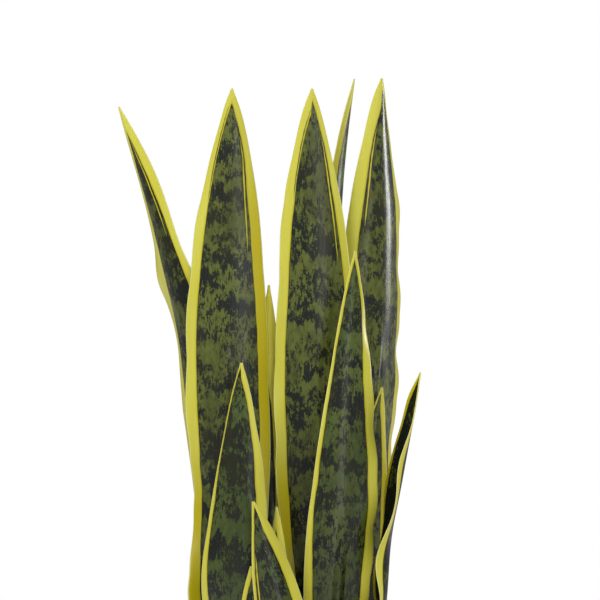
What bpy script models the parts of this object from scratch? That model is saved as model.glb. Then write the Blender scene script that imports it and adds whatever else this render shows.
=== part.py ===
# Potted snake plant: a clay pot, the soil in it and thirteen leaves that stand in the soil.
# Metres, +Z up. The pot's underside lies on Z = 0, its axis is Z, and the plant's front faces -Y.

import math

import bmesh
import bpy

# Pot
POT_HEIGHT = 0.170
POT_TOP_RADIUS = 0.100
POT_FOOT_RADIUS = 0.068
POT_WALL = 0.008
POT_FLOOR = 0.010
COLLAR_HEIGHT = 0.034
COLLAR_STEP = 0.005
EDGE_ROUNDING = 0.003
FLOOR_ROUNDING = 0.012
DRAIN_HOLES = 3
DRAIN_HOLE_RADIUS = 0.0065
DRAIN_RING_RADIUS = 0.036
TURNED_STEPS = 48
FILLET_STEPS = 2

# Soil
HEADSPACE = 0.020
SOIL_CROWN = 0.003
CLEARANCE = 0.0003

# Leaves
FOOT_DEPTH = 0.025
FOOT_ROWS = 2
ROW_SPACING = 0.023
TIP_CROWDING = 1.2
BLADE_COLUMNS = 6
TIP_WIDTH = 0.002
TIP_TAPER = 0.82
NECK_SWELL = 0.6
FOOT_THICKNESS = 0.0042
BLADE_THICKNESS = 0.0026
MARGIN_SHARE = 0.40
CHANNEL_ENDS = 0.45
CUP_POWER = 2.0
WAVE_POWER = 3
SIDEWAYS_WAVE = 0.5
FOOT_CURL = 0.12

SOIL_TOP = POT_HEIGHT - HEADSPACE

# Each leaf's midrib runs through the points of its path: x, y and height above the soil, the last
# one its tip. Its width across the margins is neck at the soil and width where it is widest, at
# the given share of its height, and a fuller leaf keeps more of it towards the tip. turn is the
# way it faces in degrees, 0 for the front, and twist is added to it by the tip. channel and cup
# are how far its margins lie behind its midrib, at the soil and where it is widest, or in front of
# it if they are negative. Each margin's wave is its height, its count and its phase in turns, and
# its ripple, where it has one, moves it by (share of the height, outwards, backwards).
LEAVES = {
    "leaf_tall_left": {
        "path": [(-0.044, 0.008, 0), (-0.053, 0.012, 0.142), (-0.0512, 0.014, 0.240),
                 (-0.0545, 0.013, 0.390), (-0.0525, 0.010, 0.485), (-0.0493, 0.005, 0.571)],
        "neck": 0.038, "width": 0.0688, "widest": 0.55, "fullness": 2.25, "turn": -4, "twist": 4,
        "channel": -0.018, "cup": 0.006,
        "left_wave": (0.004, 4.2, 0.75), "right_wave": (0.002, 3.0, 0.55),
        "left_ripple": [(0, 0, 0), (0.244, 0.0045, 0), (0.285, 0, 0), (0.333, -0.0022, 0),
                        (0.365, -0.0022, 0), (0.405, -0.0048, 0), (0.45, -0.0010, 0), (0.5, 0.0012, 0),
                        (0.575, 0.0005, 0), (0.66, -0.0002, 0), (0.744, -0.0012, 0), (0.81, 0, 0),
                        (0.87, -0.0018, 0), (0.93, -0.0016, 0), (1, 0, 0)],
        "right_ripple": [(0.55, 0, 0), (0.62, 0.0010, 0), (0.95, 0.0008, 0), (1, 0, 0)],
    },
    "leaf_tall_middle": {
        "path": [(0.034, 0.004, 0), (0.026, 0.010, 0.170), (0.0212, 0.013, 0.300),
                 (0.0205, 0.012, 0.425), (0.018, 0.010, 0.510), (0.0187, 0.006, 0.571)],
        "neck": 0.038, "width": 0.0688, "widest": 0.55, "fullness": 2.25, "turn": 3, "twist": -3,
        "channel": -0.018, "cup": 0.006,
        "left_wave": (0.004, 4.2, 0.75), "right_wave": (0.002, 3.0, 0.00),
        "left_ripple": [(0.36, 0, 0), (0.58, -0.0010, 0), (0.67, -0.0022, 0), (0.745, -0.0012, 0),
                        (0.8, 0, 0), (0.84, -0.0002, 0), (0.9, -0.0018, 0), (0.97, 0, 0)],
    },
    "leaf_tall_right": {
        "path": [(0.052, 0.032, 0), (0.069, 0.038, 0.262), (0.075, 0.037, 0.330),
                 (0.079, 0.034, 0.453), (0.0775, 0.028, 0.530), (0.0782, 0.022, 0.580)],
        "neck": 0.032, "width": 0.069, "widest": 0.55, "fullness": 2.25, "turn": 38, "twist": 0,
        "channel": 0.011, "cup": 0.020,
        "left_wave": (0.003, 5.0, 0.20), "right_wave": (0.004, 8.3, 0.34),
        "left_ripple": [(0.55, 0, 0), (0.74, -0.0024, 0), (0.91, -0.0032, 0), (1, 0, 0)],
        "right_ripple": [(0.35, 0, 0), (0.44, 0.0020, -0.0010), (0.478, 0.0035, -0.0020),
                         (0.522, 0.0010, 0), (0.575, 0.0022, -0.0012), (0.61, 0, 0), (0.65, 0, 0),
                         (0.698, 0.0018, -0.0012), (0.74, 0, 0), (0.77, 0, 0), (0.82, 0.0032, -0.0020),
                         (0.88, 0, 0)],
    },
    "leaf_leaning_left": {
        "path": [(-0.058, 0.028, 0), (-0.074, 0.040, 0.200), (-0.085, 0.043, 0.312),
                 (-0.093, 0.042, 0.370), (-0.110, 0.038, 0.435), (-0.1205, 0.036, 0.475),
                 (-0.146, 0.030, 0.556)],
        "neck": 0.034, "width": 0.054, "widest": 0.55, "fullness": 2.25, "turn": -57, "twist": 0,
        "channel": 0.013, "cup": 0.012,
        "left_wave": (0.003, 4.0, 0.71), "right_wave": (0.005, 4.4, 0.11),
        "left_ripple": [(0.48, 0, 0), (0.55, 0.0005, -0.0015), (0.6, 0.0010, -0.0026),
                        (0.64, 0.0010, -0.0012), (0.691, 0.0015, -0.0022), (0.728, 0.0028, -0.0044),
                        (0.8, 0, 0.0010), (0.86, 0, 0)],
        "right_ripple": [(0.69, 0, 0), (0.77, 0, -0.0026), (0.84, 0, 0)],
    },
    "leaf_slim_back": {
        "path": [(0.016, 0.054, 0), (0.032, 0.057, 0.300), (0.0425, 0.055, 0.480),
                 (0.0475, 0.053, 0.530), (0.055, 0.049, 0.580)],
        "neck": 0.030, "width": 0.046, "widest": 0.48, "fullness": 2.0, "turn": 64, "twist": 0,
        "channel": 0.011, "cup": 0.009,
        "left_wave": (0.002, 3.0, 0.10), "right_wave": (0.002, 3.4, 0.50),
    },
    "leaf_front_right": {
        "path": [(0.031, -0.032, 0), (0.0405, -0.040, 0.142), (0.0485, -0.042, 0.240),
                 (0.0525, -0.041, 0.340), (0.0553, -0.038, 0.433)],
        "neck": 0.036, "width": 0.058, "widest": 0.48, "fullness": 1.3, "turn": 12, "twist": 4,
        "channel": 0.014, "cup": 0.009,
        "left_wave": (0.002, 2.0, 0.20), "right_wave": (0.005, 5.1, 0.94),
    },
    "leaf_front_left": {
        "path": [(-0.038, -0.034, 0), (-0.0495, -0.041, 0.142), (-0.0445, -0.043, 0.230),
                 (-0.0411, -0.041, 0.338)],
        "neck": 0.036, "width": 0.056, "widest": 0.45, "fullness": 1.6, "turn": -14, "twist": 0,
        "channel": 0.014, "cup": 0.009,
        "left_wave": (0.002, 2.0, 0.60), "right_wave": (0.003, 3.0, 0.20),
    },
    "leaf_small_front": {
        "path": [(0.012, -0.062, 0), (0.003, -0.068, 0.080), (-0.010, -0.070, 0.142),
                 (-0.0232, -0.071, 0.198), (-0.0312, -0.071, 0.221)],
        "neck": 0.032, "width": 0.046, "widest": 0.45, "fullness": 1.75, "turn": 8, "twist": 0,
        "channel": 0.012, "cup": 0.007,
        "left_wave": (0.001, 2.0, 0.00), "right_wave": (0.002, 2.0, 0.50),
    },
    "leaf_wavy_right": {
        "path": [(0.066, -0.014, 0), (0.081, -0.016, 0.136), (0.085, -0.017, 0.190),
                 (0.0935, -0.018, 0.236), (0.111, -0.022, 0.330)],
        "neck": 0.034, "width": 0.052, "widest": 0.50, "fullness": 2.0, "turn": 75, "twist": 35,
        "channel": 0.010, "cup": 0.008,
        "left_wave": (0.005, 3.9, 0.23), "right_wave": (0.004, 3.6, 0.59),
        "right_ripple": [(0.75, 0, 0), (0.84, 0, 0.0020), (0.93, 0, 0.0026), (1, 0, 0)],
    },
    "leaf_short_right": {
        "path": [(0.052, 0.016, 0), (0.063, 0.022, 0.136), (0.071, 0.022, 0.250),
                 (0.0783, 0.020, 0.317)],
        "neck": 0.022, "width": 0.036, "widest": 0.45, "fullness": 2.0, "turn": 15, "twist": 0,
        "channel": 0.008, "cup": 0.005,
        "left_wave": (0.002, 3.0, 0.20), "right_wave": (0.002, 3.0, 0.60),
    },
    "leaf_narrow_back": {
        "path": [(-0.020, 0.034, 0), (-0.019, 0.036, 0.250), (-0.018, 0.034, 0.404)],
        "neck": 0.024, "width": 0.034, "widest": 0.45, "fullness": 2.0, "turn": -6, "twist": 0,
        "channel": 0.009, "cup": 0.005,
        "left_wave": (0.002, 3.0, 0.40), "right_wave": (0.002, 3.0, 0.90),
    },
    "leaf_young_middle": {
        "path": [(-0.006, -0.016, 0), (-0.012, -0.022, 0.120), (-0.0113, -0.026, 0.216)],
        "neck": 0.020, "width": 0.027, "widest": 0.40, "fullness": 2.0, "turn": -30, "twist": 0,
        "channel": 0.007, "cup": 0.006,
        "left_wave": (0.001, 2.0, 0.10), "right_wave": (0.001, 2.0, 0.60),
    },
    "leaf_young_left": {
        "path": [(-0.022, -0.052, 0), (-0.029, -0.055, 0.090), (-0.0327, -0.056, 0.166)],
        "neck": 0.020, "width": 0.034, "widest": 0.45, "fullness": 2.0, "turn": -12, "twist": 0,
        "channel": 0.007, "cup": 0.006,
        "left_wave": (0.001, 2.0, 0.30), "right_wave": (0.001, 2.0, 0.80),
    },
}

# Colours, roughness
LEAF_GREEN = (0.075, 0.120, 0.030)
SOIL_BROWN = (0.045, 0.028, 0.018)
CLAY_RED = (0.420, 0.165, 0.085)
LEAF_ROUGHNESS = 0.35
SOIL_ROUGHNESS = 0.95
CLAY_ROUGHNESS = 0.85


def clear_scene():
    for old in list(bpy.data.objects):
        bpy.data.objects.remove(old, do_unlink=True)


def new_collection(name, hidden):
    made = bpy.data.collections.new(name)
    bpy.context.scene.collection.children.link(made)
    made.hide_render = hidden
    return made


def plain_material(name, colour, roughness):
    material = bpy.data.materials.new(name)
    material.use_nodes = True
    shader = material.node_tree.nodes["Principled BSDF"]
    shader.inputs["Base Color"].default_value = (*colour, 1)
    shader.inputs["Roughness"].default_value = roughness
    shader.inputs["Metallic"].default_value = 0
    return material


def add_object(name, mesh, collection, material=None):
    made = bpy.data.objects.new(name, mesh)
    collection.objects.link(made)
    if material:
        mesh.materials.append(material)
    return made


def smooth_step(share):
    share = min(max(share, 0), 1)
    return share * share * (3 - 2 * share)


def mix(start, end, share):
    return start + (end - start) * share


# Pot and soil, both turned about Z

def inner_radius(height):
    outer = mix(POT_FOOT_RADIUS, POT_TOP_RADIUS - COLLAR_STEP, height / POT_HEIGHT)
    return outer - POT_WALL


def filleted(corners):
    """The outline with each corner of (radius, height, rounding) replaced by a short arc."""
    outline = []
    for index, (radius, height, rounding) in enumerate(corners):
        if rounding == 0:
            outline.append((radius, height))
            continue
        before, after = corners[index - 1], corners[index + 1]
        ends = []
        for other in (before, after):
            length = math.hypot(other[0] - radius, other[1] - height)
            share = rounding / length
            ends.append((mix(radius, other[0], share), mix(height, other[1], share)))
        for step in range(FILLET_STEPS + 1):
            share = step / FILLET_STEPS
            first = (mix(ends[0][0], radius, share), mix(ends[0][1], height, share))
            second = (mix(radius, ends[1][0], share), mix(height, ends[1][1], share))
            outline.append((mix(first[0], second[0], share), mix(first[1], second[1], share)))
    return outline


def turned(name, outline, collection, material):
    """A solid of revolution about Z. The outline runs from the axis down its outer side."""
    mesh = bpy.data.meshes.new(name)
    points = [(radius, 0, height) for radius, height in outline]
    mesh.from_pydata(points, [(i, i + 1) for i in range(len(points) - 1)], [])
    made = add_object(name, mesh, collection, material)
    screw = made.modifiers.new("Turn", "SCREW")
    screw.steps = TURNED_STEPS
    screw.render_steps = TURNED_STEPS
    screw.use_smooth_shade = True
    screw.use_merge_vertices = True
    screw.merge_threshold = 0.00001
    return made


def cut(target, cutter, name):
    cutter.hide_render = True
    cutter.display_type = "WIRE"
    boolean = target.modifiers.new(name, "BOOLEAN")
    boolean.operation = "DIFFERENCE"
    boolean.solver = "EXACT"
    boolean.object = cutter


def make_pot(parts, cutters):
    collar_bottom = POT_HEIGHT - COLLAR_HEIGHT
    body_at_collar = inner_radius(collar_bottom) + POT_WALL
    outline = filleted([
        (0, POT_FLOOR, 0),
        (inner_radius(POT_FLOOR), POT_FLOOR, FLOOR_ROUNDING),
        (inner_radius(POT_HEIGHT), POT_HEIGHT, EDGE_ROUNDING),
        (POT_TOP_RADIUS, POT_HEIGHT, EDGE_ROUNDING),
        (body_at_collar + COLLAR_STEP, collar_bottom, EDGE_ROUNDING),
        (body_at_collar, collar_bottom, EDGE_ROUNDING),
        (POT_FOOT_RADIUS, 0, EDGE_ROUNDING),
        (0, 0, 0),
    ])
    pot = turned("pot", outline, parts, plain_material("clay", CLAY_RED, CLAY_ROUGHNESS))
    drill_depth = 3 * POT_FLOOR
    for number in range(DRAIN_HOLES):
        angle = 2 * math.pi * (number + 0.25) / DRAIN_HOLES
        bpy.ops.mesh.primitive_cylinder_add(
            vertices=24, radius=DRAIN_HOLE_RADIUS, depth=drill_depth,
            location=(DRAIN_RING_RADIUS * math.cos(angle), DRAIN_RING_RADIUS * math.sin(angle), 0))
        drill = bpy.context.object
        drill.name = f"drain_drill_{number + 1}"
        for holder in list(drill.users_collection):
            holder.objects.unlink(drill)
        cutters.objects.link(drill)
        cut(pot, drill, f"Drain hole {number + 1}")
    return pot


def make_soil(parts):
    bottom = POT_FLOOR + CLEARANCE
    floor_corner = inner_radius(POT_FLOOR) - CLEARANCE
    edge_height = SOIL_TOP - SOIL_CROWN
    wall_top = inner_radius(edge_height) - CLEARANCE
    outline = filleted([
        (0, SOIL_TOP + SOIL_CROWN, 0),
        (wall_top * 0.55, SOIL_TOP + SOIL_CROWN * 0.8, 0),
        (wall_top, edge_height, 0),
        (floor_corner, bottom, FLOOR_ROUNDING),
        (0, bottom, 0),
    ])
    return turned("soil", outline, parts, plain_material("soil", SOIL_BROWN, SOIL_ROUGHNESS))


# Leaves

def path_at(path, height):
    """The midrib's x and y at this height, on a smooth curve through the path's points."""
    last = len(path) - 1
    index = 0
    while index < last - 1 and height > path[index + 1][2]:
        index += 1
    start, end = path[index], path[index + 1]
    span = end[2] - start[2]
    share = (height - start[2]) / span
    found = []
    for axis in (0, 1):
        slopes = []
        for place in (index, index + 1):
            before, after = path[max(place - 1, 0)], path[min(place + 1, last)]
            slopes.append((after[axis] - before[axis]) / (after[2] - before[2]))
        if share < 0:
            found.append(start[axis] + slopes[0] * (height - start[2]))
            continue
        square, cube = share**2, share**3
        found.append(
            (2 * cube - 3 * square + 1) * start[axis] + (cube - 2 * square + share) * span * slopes[0]
            + (3 * square - 2 * cube) * end[axis] + (cube - square) * span * slopes[1])
    return found


def half_width(leaf, rise):
    if rise < leaf["widest"]:
        share = math.sin(math.pi / 2 * max(rise, 0) / leaf["widest"]) ** NECK_SWELL
        return mix(leaf["neck"], leaf["width"], share) / 2
    reach = (rise - leaf["widest"]) / (1 - leaf["widest"])
    return max(leaf["width"] * (1 - reach ** leaf["fullness"]) ** TIP_TAPER, TIP_WIDTH) / 2


def margin_depth(leaf, rise):
    blade = leaf["cup"] * half_width(leaf, rise) / (leaf["width"] / 2)
    return mix(leaf["channel"], blade, smooth_step(rise / CHANNEL_ENDS))


def ripple_at(ripple, rise):
    """How far outwards and backwards a margin is moved, from points of (rise, outwards, backwards)."""
    for start, end in zip(ripple, ripple[1:]):
        if start[0] <= rise <= end[0]:
            share = smooth_step((rise - start[0]) / (end[0] - start[0]))
            return mix(start[1], end[1], share), mix(start[2], end[2], share)
    return 0, 0


def leaf_point(leaf, height, across, grow):
    """A point of the leaf's middle surface. across is -1 at the left margin and 1 at the right."""
    tip_height = leaf["path"][-1][2]
    rise = height / tip_height
    across *= 1 + grow / half_width(leaf, rise)
    side = abs(across)
    amplitude, count, phase = leaf["left_wave"] if across < 0 else leaf["right_wave"]
    angle = 2 * math.pi * (count * rise + phase)
    swell = amplitude * smooth_step(rise / 0.3) * (1 - max(rise, 0) ** 3) * side**WAVE_POWER
    curl = mix(FOOT_CURL, 0, smooth_step(rise / CHANNEL_ENDS)) * side**4
    ripple = ripple_at(leaf.get("left_ripple" if across < 0 else "right_ripple", []), rise)
    outwards = SIDEWAYS_WAVE * swell * abs(math.cos(angle)) + ripple[0] * side**WAVE_POWER
    backwards = swell * math.sin(angle) + ripple[1] * side**WAVE_POWER
    along_x = across * half_width(leaf, rise) * (1 - curl) + (outwards if across > 0 else -outwards)
    along_y = margin_depth(leaf, rise) * side**CUP_POWER + backwards
    turn = math.radians(leaf["turn"] + leaf["twist"] * max(rise, 0))
    x, y = path_at(leaf["path"], height)
    return (
        x + along_x * math.cos(turn) - along_y * math.sin(turn),
        y + along_x * math.sin(turn) + along_y * math.cos(turn),
        SOIL_TOP + height,
    )


def row_heights(leaf):
    tip_height = leaf["path"][-1][2]
    foot = [FOOT_DEPTH * (row / FOOT_ROWS - 1) for row in range(FOOT_ROWS)]
    rows = round(tip_height / ROW_SPACING)
    blade = [tip_height * (1 - (1 - row / rows) ** TIP_CROWDING) for row in range(rows + 1)]
    return foot + blade


def thickness_at(leaf, height, across):
    rise = max(height / leaf["path"][-1][2], 0)
    middle = mix(FOOT_THICKNESS, BLADE_THICKNESS, smooth_step(rise / CHANNEL_ENDS))
    middle = mix(middle, BLADE_THICKNESS * MARGIN_SHARE, smooth_step((rise - 0.6) / 0.4))
    return mix(middle, BLADE_THICKNESS * MARGIN_SHARE, across**2)


def blade_mesh(name, leaf, heights, grow):
    """The leaf's middle surface as a grid, with its thickness at each point as a vertex group."""
    grid = bmesh.new()
    bmesh.ops.create_grid(grid, x_segments=BLADE_COLUMNS, y_segments=len(heights) - 1, size=1)
    weights = []
    for vertex in grid.verts:
        across = round((vertex.co.x + 1) / 2 * BLADE_COLUMNS) / BLADE_COLUMNS * 2 - 1
        row = round((vertex.co.y + 1) / 2 * (len(heights) - 1))
        weights.append(thickness_at(leaf, heights[row], across) + 2 * grow)
        place = leaf_point(leaf, heights[row], across, grow)
        vertex.co = (place[0], place[1], place[2] - (grow if row == 0 else 0))
    mesh = bpy.data.meshes.new(name)
    grid.to_mesh(mesh)
    grid.free()
    return mesh, weights


def thickened(made, weights):
    most = max(weights)
    group = made.vertex_groups.new(name="thickness")
    for index, weight in enumerate(weights):
        group.add([index], weight / most, "REPLACE")
    solidify = made.modifiers.new("Thickness", "SOLIDIFY")
    solidify.thickness = most
    solidify.offset = 0
    solidify.vertex_group = group.name


def make_leaf(name, leaf, soil, parts, cutters):
    heights = row_heights(leaf)
    mesh, weights = blade_mesh(name, leaf, heights, 0)
    made = add_object(name, mesh, parts, plain_material(name, LEAF_GREEN, LEAF_ROUGHNESS))
    thickened(made, weights)
    made.data.shade_smooth()
    mesh, weights = blade_mesh(name + "_socket", leaf, heights[:FOOT_ROWS + 2], CLEARANCE)
    socket = add_object(name + "_socket", mesh, cutters)
    thickened(socket, weights)
    cut(soil, socket, name + " socket")


def main():
    clear_scene()
    parts = new_collection("Potted snake plant", hidden=False)
    cutters = new_collection("Cutters", hidden=True)
    make_pot(parts, cutters)
    soil = make_soil(parts)
    for name, leaf in LEAVES.items():
        make_leaf(name, leaf, soil, parts, cutters)


main()
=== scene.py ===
import math
import random

import bmesh
import bpy
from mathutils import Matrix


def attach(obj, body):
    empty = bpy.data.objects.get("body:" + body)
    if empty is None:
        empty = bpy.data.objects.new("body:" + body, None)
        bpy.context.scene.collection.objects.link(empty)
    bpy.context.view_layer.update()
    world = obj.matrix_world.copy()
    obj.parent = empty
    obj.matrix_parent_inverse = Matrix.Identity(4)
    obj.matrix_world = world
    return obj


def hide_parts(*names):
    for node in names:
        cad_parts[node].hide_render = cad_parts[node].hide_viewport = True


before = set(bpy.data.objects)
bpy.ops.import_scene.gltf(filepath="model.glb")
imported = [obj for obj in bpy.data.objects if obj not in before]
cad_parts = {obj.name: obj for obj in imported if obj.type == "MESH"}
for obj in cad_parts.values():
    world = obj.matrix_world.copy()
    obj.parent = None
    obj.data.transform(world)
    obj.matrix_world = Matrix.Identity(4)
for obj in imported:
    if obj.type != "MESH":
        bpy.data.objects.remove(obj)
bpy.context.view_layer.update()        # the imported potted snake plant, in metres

print("frame loaded:", len(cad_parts), "solids")


# General helpers

def mix(start, end, share):
    return start + (end - start) * share


def smoothStep(share):
    share = min(max(share, 0), 1)
    return share * share * (3 - 2 * share)


def colour(red, green, blue):  # from 0-255 screen values to the shader's linear ones
    found = []
    for value in (red, green, blue):
        value /= 255
        found.append(value / 12.92 if value <= 0.04045 else ((value + 0.055) / 1.055) ** 2.4)
    return (*found, 1)


def clearSelection():
    if bpy.context.object and bpy.context.object.mode != "OBJECT":
        bpy.ops.object.mode_set(mode="OBJECT")
    bpy.ops.object.select_all(action="DESELECT")


def editPoints(piece):
    if piece.mode != "EDIT":
        bpy.ops.object.mode_set(mode="EDIT")
    bpy.context.tool_settings.mesh_select_mode = (True, False, False)


def selectPoints(piece, numbers):
    grid = bmesh.from_edit_mesh(piece.data)
    grid.verts.ensure_lookup_table()
    for vertex in grid.verts:
        vertex.select = False
    for number in numbers:
        grid.verts[number].select = True
    grid.select_flush_mode()
    bmesh.update_edit_mesh(piece.data, loop_triangles=False, destructive=False)


def applyModifiers(piece):
    clearSelection()
    piece.select_set(True)
    bpy.context.view_layer.objects.active = piece
    for modifier in list(piece.modifiers):
        bpy.ops.object.modifier_apply(modifier=modifier.name)


def applyPlace(piece):
    clearSelection()
    piece.select_set(True)
    bpy.context.view_layer.objects.active = piece
    bpy.ops.object.transform_apply(location=True, rotation=True, scale=True)


def outwardNormals(piece):
    clearSelection()
    piece.select_set(True)
    bpy.context.view_layer.objects.active = piece
    bpy.ops.object.mode_set(mode="EDIT")
    bpy.ops.mesh.select_all(action="SELECT")
    bpy.ops.mesh.normals_make_consistent(inside=False)
    bpy.ops.object.mode_set(mode="OBJECT")


# Shader helpers

def addNode(tree, kind, inputs=None, **settings):
    made = tree.nodes.new(kind)
    for key, value in settings.items():
        setattr(made, key, value)
    for key, value in (inputs or {}).items():
        if isinstance(value, bpy.types.NodeSocket):
            tree.links.new(value, made.inputs[key])
        else:
            made.inputs[key].default_value = value
    return made


def calculate(tree, operation, first, second=0.0, third=0.0, clamp=False):
    return addNode(tree, "ShaderNodeMath", {0: first, 1: second, 2: third},
                   operation=operation, use_clamp=clamp).outputs[0]


def ramp(tree, value, low, high, start=0.0, end=1.0):  # a smooth step from start to end
    made = addNode(tree, "ShaderNodeMapRange",
                   {"Value": value, "From Min": low, "From Max": high, "To Min": start, "To Max": end},
                   interpolation_type="SMOOTHSTEP")
    return made.outputs[0]


def blend(tree, share, first, second, mode="MIX"):
    made = addNode(tree, "ShaderNodeMix", data_type="RGBA", blend_type=mode)
    for socket, value in ((0, share), (6, first), (7, second)):
        if isinstance(value, bpy.types.NodeSocket):
            tree.links.new(value, made.inputs[socket])
        else:
            made.inputs[socket].default_value = value
    return made.outputs[2]


def place(tree, x, y, z):
    return addNode(tree, "ShaderNodeCombineXYZ", {0: x, 1: y, 2: z}).outputs[0]


def noise(tree, vector, scale=1.0, detail=2.0, roughness=0.5):
    return addNode(tree, "ShaderNodeTexNoise",
                   {"Vector": vector, "Scale": scale, "Detail": detail, "Roughness": roughness}
                   ).outputs[0]


def newGroup(name, inputs, outputs):
    group = bpy.data.node_groups.new(name, "ShaderNodeTree")
    for label, kind, value in inputs:
        socket = group.interface.new_socket(name=label, in_out="INPUT", socket_type=kind)
        if value is not None:
            socket.default_value = value
    for label, kind in outputs:
        group.interface.new_socket(name=label, in_out="OUTPUT", socket_type=kind)
    start = group.nodes.new("NodeGroupInput")
    end = group.nodes.new("NodeGroupOutput")
    return group, start.outputs, end.inputs


def newMaterial(name, roughness):
    material = bpy.data.materials.new(name)
    material.use_nodes = True
    shader = next(n for n in material.node_tree.nodes if n.type == "BSDF_PRINCIPLED")
    shader.inputs["Roughness"].default_value = roughness
    return material, material.node_tree, shader


floatSocket = "NodeSocketFloat"
colourSocket = "NodeSocketColor"


# Leaf surface. Across and Along are metres from the midrib and above the soil, Margin Gap is
# the distance in from the nearer margin, and Tip Gap below is the distance down from the tip.
# Each noise has its repeats to the metre, across and along, and where it's mixed, its strength.

leafColours = {
    "paleYellow": colour(210, 208, 86),
    "deepYellow": colour(188, 176, 24),
    # painted shade: gold stands for yellow margins in shade
    "gold": colour(184, 170, 4),
    # painted highlight: edge is the pale rim catching the light
    "edge": colour(224, 222, 150),
    # painted light: fresh lifts yellows that sit in shade
    "fresh": colour(250, 242, 84),
    "brightGreen": colour(95, 103, 44),
    "dullGreen": colour(74, 81, 34),
    "coolGreen": colour(58, 82, 44),
    "darkGreen": colour(27, 32, 26),
    "darkOlive": colour(40, 42, 24),
    "black": (0, 0, 0, 1),
}

leafPattern = {
    "midribBlend": 0.0005, "borderBlend": 0.00025, "tipToSide": (0.03, 0.13), "mostGrowth": 0.0065,
    "wander": (22.0, 0.0018), "fineWander": (700.0, 60.0, 0.0010),
    "line": {"Offset": 0.0008, "Slant": 0.0026, "Width": 0.0014},
    "split": {"Offset": -0.0016, "Slant": 0.0007, "Width": 0.0013}, "splitDepth": 0.85,
    "fleck": (900.0, 170.0, 0.62), "blot": (270.0, 130.0, 0.50), "dot": (620.0, 520.0, 0.36),
    "drift": (150.0, 24.0, 0.032), "band": (40.0, 74.0), "darkFrom": 0.43, "darkTo": 0.56,
    "broad": (40.0, 14.0), "vein": (900.0, 9.0), "streak": (420.0, 16.0, 0.22),
    "besideBorder": 0.55, "besideLine": 0.7, "besideGreen": 0.6,
    # painted shade: lowShade darkens the green low down; rightShadeFade and lowMarginShade turn shaded
    # margins gold
    "lowShade": (0.36, 0.10, 0.34), "rightShadeFade": 0.09, "lowMarginShade": (0.28, 0.37, 0.95),
    # painted highlight: rim lights the very edge of the leaf
    "rimHighlight": (0.0005, 0.0001, 0.8), "roughness": 0.18, "fleckRoughness": 0.14, "marginRoughness": 0.10,
    "foldHalfWidth": 0.0060, "foldStart": (0.20, 0.30), "foldDepth": 0.0038,
    "reliefDepth": 0.0003, "reliefStrength": 0.4, "refraction": 1.48,
}


def makeSliverGroup():  # a thin line beside the border; slant moves it inwards on the way down
    group, given, found = newGroup(
        "thinSliver",
        [("Border Gap", floatSocket, 0.0), ("Along", floatSocket, 0.0), ("Offset", floatSocket, 0.0),
         ("Slant", floatSocket, 0.0), ("Start", floatSocket, 0.0), ("End", floatSocket, 1.0),
         ("Width", floatSocket, 0.001)],
        [("Mask", floatSocket), ("Halo", floatSocket)])
    tree = group
    span = calculate(tree, "SUBTRACT", given["End"], given["Start"])
    share = calculate(tree, "DIVIDE", calculate(tree, "SUBTRACT", given["Along"], given["Start"]), span,
                      clamp=True)
    rest = calculate(tree, "SUBTRACT", 1.0, share)
    hump = calculate(tree, "MULTIPLY", calculate(tree, "MULTIPLY", share, rest), 4.0)
    taper = calculate(tree, "SQRT", hump)
    reach = calculate(tree, "MULTIPLY", calculate(tree, "MULTIPLY", given["Width"], 0.5), taper)
    offset = calculate(tree, "MULTIPLY_ADD", given["Slant"], rest, given["Offset"])
    away = calculate(tree, "ABSOLUTE", calculate(tree, "SUBTRACT", given["Border Gap"], offset))
    inside = calculate(tree, "SUBTRACT", reach, away)
    tree.links.new(ramp(tree, inside, 0.0, 0.0003), found["Mask"])
    halo = calculate(tree, "MULTIPLY", ramp(tree, inside, -0.0016, -0.0004), taper)
    tree.links.new(halo, found["Halo"])
    return group


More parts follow.
